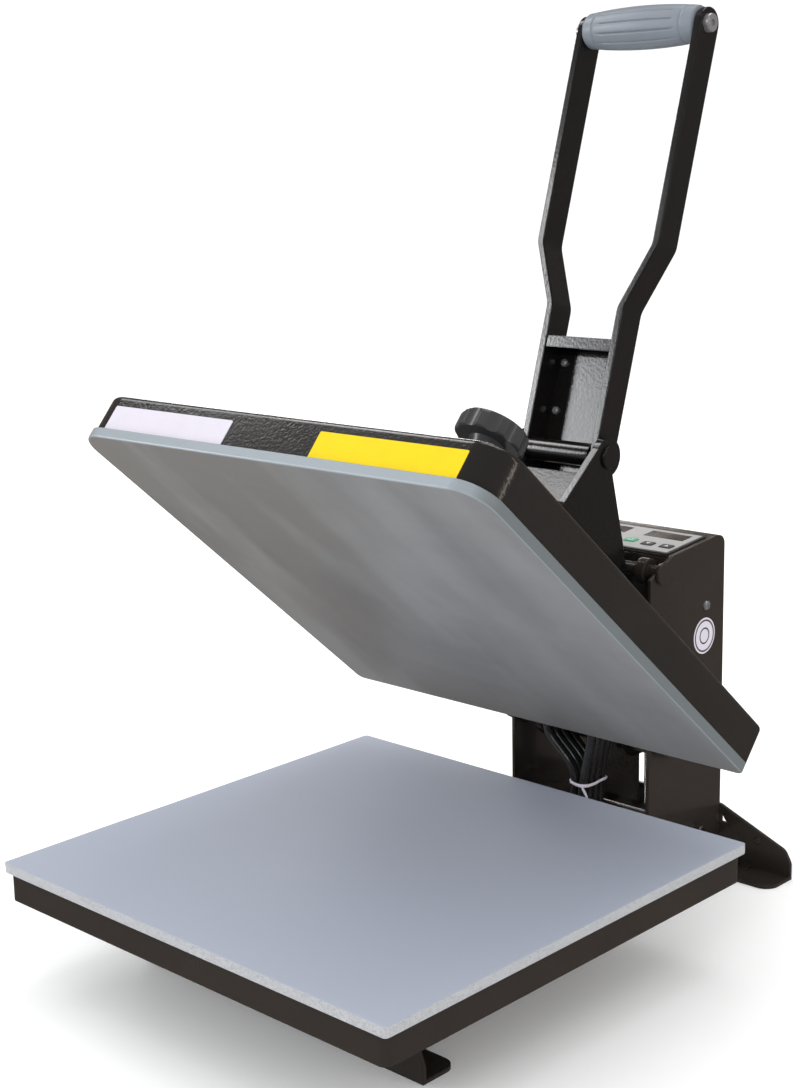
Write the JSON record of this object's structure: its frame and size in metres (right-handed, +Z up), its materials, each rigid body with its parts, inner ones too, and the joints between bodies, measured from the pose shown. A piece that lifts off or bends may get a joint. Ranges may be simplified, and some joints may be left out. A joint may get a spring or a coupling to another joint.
{
  "type": "heat press",
  "caption": "Open clamshell heat press: square heated platen on a sprung toggle arm over a silicone pad, with bent-bar handle, pressure knob and rear control box.",
  "frame": {"origin": "on the floor under the middle of the press without its cord", "axes": "+X to the user's right, +Y to the rear, +Z up"},
  "size_m": [0.38, 0.534, 0.6881],
  "materials": {
    "black_gloss": "gloss black powder coat with orange peel",
    "black_frame": "gloss black paint",
    "plate_aluminium": "machined, non-stick coated, satin",
    "silicone": "matt silicone foam",
    "steel_shaft": "turned steel",
    "zinc": "zinc plated",
    "spring_steel": "bright spring wire",
    "grip_plastic": "grey moulded plastic",
    "black_plastic": "black moulded plastic",
    "membrane_grey": "printed membrane",
    "key_green": "green key",
    "key_dark": "dark key",
    "display_lens": "dark smoked lens",
    "board_green": "printed circuit board",
    "core_steel": "laminated core",
    "insulation": "ceramic fibre felt",
    "label_white": "blank white sticker",
    "label_yellow": "blank yellow sticker",
    "cord_black": "glossy black cord sheath"
  },
  "bodies": {
    "base": {"front_foot": "black_frame", "rear_foot": "black_frame", "base_rails": "black_frame", "tray_crossmembers": "black_frame", "lower_tray": "black_frame", "silicone_pad": "silicone", "column_wall_right": "black_frame", "column_wall_left": "black_frame", "box_lid": "black_frame", "box_front_panel": "black_frame", "box_floor_panel": "black_frame", "membrane_panel": "membrane_grey", "display_windows": "display_lens", "controller_board": "board_green", "transformer": "core_steel", "solid_state_relay": "black_plastic", "power_switch_body": "black_plastic", "wall_screws": "zinc", "main_shaft": "black_frame", "shaft_hardware": "black_frame", "link_shaft": "black_frame", "spring_rod": "steel_shaft", "lift_springs": "spring_steel", "cord_gland": "black_plastic", "power_cord": "cord_black", "cord_tail": "cord_black", "cord_hank": "cord_black", "plug": "cord_black"},
    "arm": {"arm_plate_right": "black_frame", "arm_plate_left": "black_frame", "arm_hub": "black_frame", "arm_web": "black_frame", "screw_block": "black_frame", "handle_shaft": "black_frame", "spring_pin": "steel_shaft", "heater_lead": "cord_black"},
    "platen": {"heater_plate": "plate_aluminium", "heating_element": "steel_shaft", "insulation_pad": "insulation", "platen_cover": "black_gloss", "centre_mount": "black_frame", "guide_pins": "steel_shaft", "white_label": "label_white", "yellow_label": "label_yellow", "lead_gland": "black_plastic"},
    "knob": {"pressure_screw": "zinc", "lock_nut": "zinc", "pressure_knob": "black_plastic"},
    "handle": {"handle_bar_right": "black_frame", "handle_bar_left": "black_frame", "handle_web": "black_frame", "web_screws": "zinc", "grip_bolt": "zinc"},
    "grip": {"grip": "grip_plastic"},
    "link": {"toggle_links": "black_frame", "link_pin": "steel_shaft"},
    "key_heat": {"key_heat": "key_green"},
    "key_down": {"key_down": "key_dark"},
    "key_up": {"key_up": "key_dark"},
    "rocker": {"power_rocker": "black_plastic"}
  },
  "joints": [
    {"name": "arm_lift", "type": "hinge", "parent": "base", "child": "arm", "pos_m": [0, 0.18, 0.126], "axis": [1, 0, 0], "range_deg": [0, 41], "stiffness_Nm_per_rad": 12, "springref_deg": -103.13, "deforming": ["lift_springs", "heater_lead"]},
    {"name": "platen_height", "type": "slide", "parent": "arm", "child": "platen", "axis": [0, 0.6561, 0.7547], "range_m": [0, 0.006]},
    {"name": "knob_turn", "type": "hinge", "parent": "platen", "child": "knob", "pos_m": [0, 0.03459, 0.35046], "axis": [0, 0.6561, 0.7547], "range_deg": [0, 720.1]},
    {"name": "handle_swing", "type": "hinge", "parent": "arm", "child": "handle", "pos_m": [0, 0.14243, 0.3541], "axis": [1, 0, 0], "range_deg": [0, 57.55]},
    {"name": "link_swing", "type": "hinge", "parent": "base", "child": "link", "pos_m": [0, 0.177, 0.261], "axis": [1, 0, 0], "range_deg": [-20.66, 0]},
    {"name": "grip_spin", "type": "hinge", "parent": "handle", "child": "grip", "pos_m": [0, 0.24613, 0.67162], "axis": [1, 0, 0], "continuous": true},
    {"name": "rocker_tilt", "type": "hinge", "parent": "base", "child": "rocker", "pos_m": [0.03, 0.2605, 0.222], "axis": [0, 0, 1], "range_deg": [-30, 0]},
    {"name": "key_heat_press", "type": "slide", "parent": "base", "child": "key_heat", "axis": [0, 0.0899, -0.9959], "range_m": [0, 0.0006], "stiffness_N_per_m": 600, "springref_m": -0.0004},
    {"name": "key_down_press", "type": "slide", "parent": "base", "child": "key_down", "axis": [0, 0.0899, -0.9959], "range_m": [0, 0.0006], "stiffness_N_per_m": 600, "springref_m": -0.0004},
    {"name": "key_up_press", "type": "slide", "parent": "base", "child": "key_up", "axis": [0, 0.0899, -0.9959], "range_m": [0, 0.0006], "stiffness_N_per_m": 600, "springref_m": -0.0004}
  ],
  "couplings": [
    {"joint": "knob_turn", "follows": "platen_height", "rad_per_m": 2094.4},
    {"joint": "handle_swing", "follows": "arm_lift", "ratio": 1.4034},
    {"joint": "link_swing", "follows": "arm_lift", "ratio": -0.5036}
  ]
}
